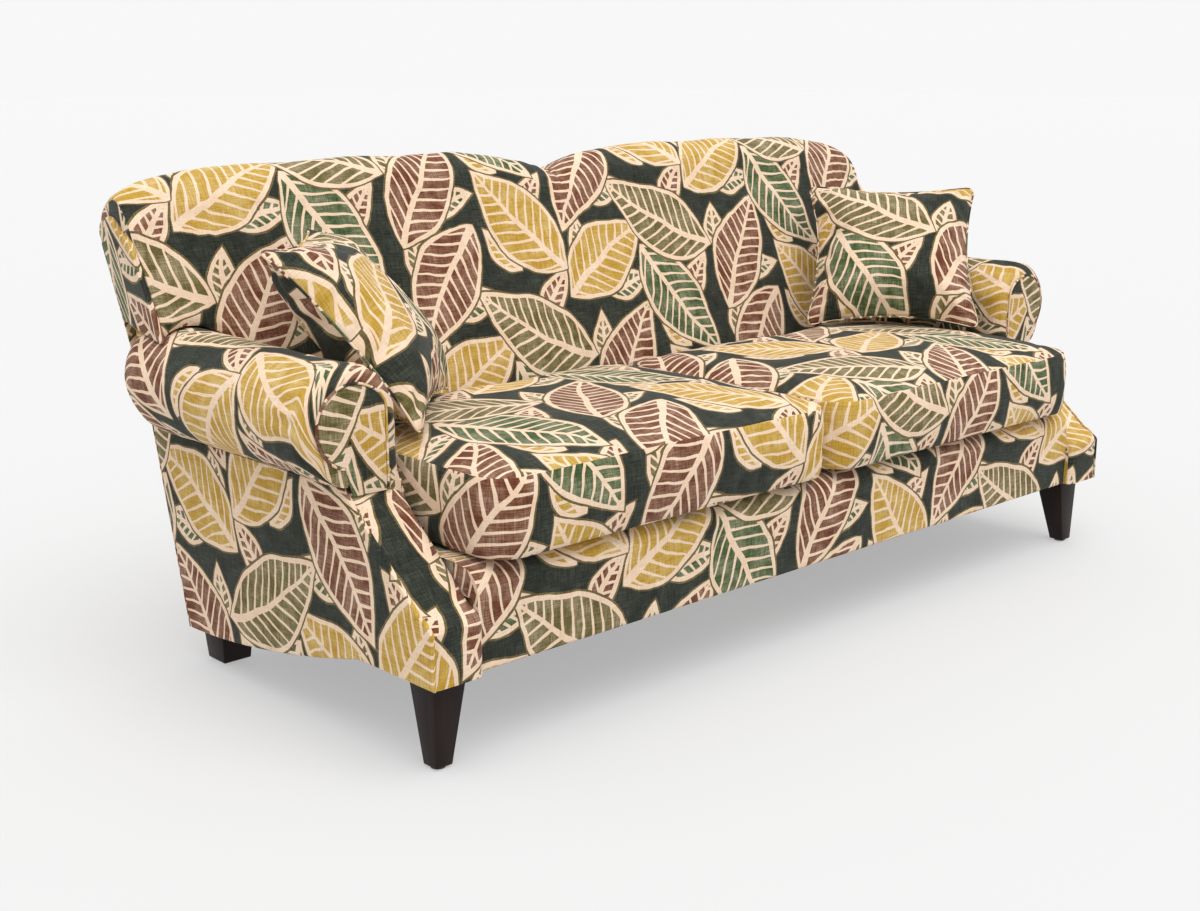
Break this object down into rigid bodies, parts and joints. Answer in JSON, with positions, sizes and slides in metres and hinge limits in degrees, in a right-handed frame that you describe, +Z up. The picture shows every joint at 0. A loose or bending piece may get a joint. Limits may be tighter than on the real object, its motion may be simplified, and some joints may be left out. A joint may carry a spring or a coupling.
{
  "type": "english roll arm sofa",
  "caption": "Roll arm sofa with a raked double-crown back, low set-back arms, loose seat cushions, scatter cushions and square tapered legs.",
  "frame": {"origin": "on the floor, at the middle of the sofa's outline in plan", "axes": "+X along the sofa's length, to the right as seen from the front; +Y towards the back; +Z up"},
  "size_m": [2.0666, 0.936, 0.8938],
  "materials": {
    "print_fabric": "printed linen blend, slubby plain weave",
    "calico": "undyed cotton over padding",
    "lining": "black non-woven lining",
    "espresso_wood": "near-black stain, satin lacquer",
    "beech": "sawn and planed, unfinished",
    "steel": "drawn wire and zinc-plated bolts",
    "nylon": "moulded"
  },
  "bodies": {
    "root": {"arm_board_left": "beech", "arm_board_right": "beech", "arm_facing_left": "print_fabric", "arm_facing_right": "print_fabric", "arm_front_pad_left": "print_fabric", "arm_front_pad_right": "print_fabric", "arm_front_post_left": "beech", "arm_front_post_right": "beech", "arm_pad_left": "print_fabric", "arm_pad_right": "print_fabric", "arm_tuck_rail_left": "beech", "arm_tuck_rail_right": "beech", "back_border_left": "print_fabric", "back_border_right": "print_fabric", "back_pad": "print_fabric", "back_post_left": "beech", "back_post_right": "beech", "back_top_rail": "beech", "back_tuck_rail": "beech", "back_upright": "beech", "centre_stretcher": "beech", "corner_block_front_left": "beech", "corner_block_front_right": "beech", "corner_block_rear_left": "beech", "corner_block_rear_right": "beech", "dust_cover": "lining", "front_rail": "beech", "front_rail_cover": "print_fabric", "leg_bolt_front_left": "steel", "leg_bolt_front_right": "steel", "leg_bolt_rear_left": "steel", "leg_bolt_rear_right": "steel", "leg_front_left": "espresso_wood", "leg_front_right": "espresso_wood", "leg_glide_front_left": "nylon", "leg_glide_front_right": "nylon", "leg_glide_rear_left": "nylon", "leg_glide_rear_right": "nylon", "leg_rear_left": "espresso_wood", "leg_rear_right": "espresso_wood", "outside_arm_left": "print_fabric", "outside_arm_right": "print_fabric", "outside_back": "print_fabric", "rear_rail": "beech", "rear_seat_rail": "beech", "seat_deck": "calico", "seat_spring_1": "steel", "seat_spring_2": "steel", "seat_spring_3": "steel", "seat_spring_4": "steel", "seat_spring_5": "steel", "seat_spring_6": "steel", "seat_spring_7": "steel", "seat_spring_8": "steel", "side_rail_left": "beech", "side_rail_right": "beech"},
    "seat_left": {"seat_cushion_left": "print_fabric"},
    "seat_right": {"seat_cushion_right": "print_fabric"},
    "scatter_left": {"scatter_cushion_left": "print_fabric"},
    "scatter_right": {"scatter_cushion_right": "print_fabric"}
  },
  "joints": [
    {"name": "seat_left_lift", "type": "slide", "parent": "root", "child": "seat_left", "axis": [0, 0, 1], "range_m": [0, 0.35]},
    {"name": "seat_right_lift", "type": "slide", "parent": "root", "child": "seat_right", "axis": [0, 0, 1], "range_m": [0, 0.35]},
    {"name": "scatter_left_lift", "type": "slide", "parent": "seat_left", "child": "scatter_left", "axis": [0, 0, 1], "range_m": [0, 0.35]},
    {"name": "scatter_right_lift", "type": "slide", "parent": "seat_right", "child": "scatter_right", "axis": [0, 0, 1], "range_m": [0, 0.35]}
  ]
}
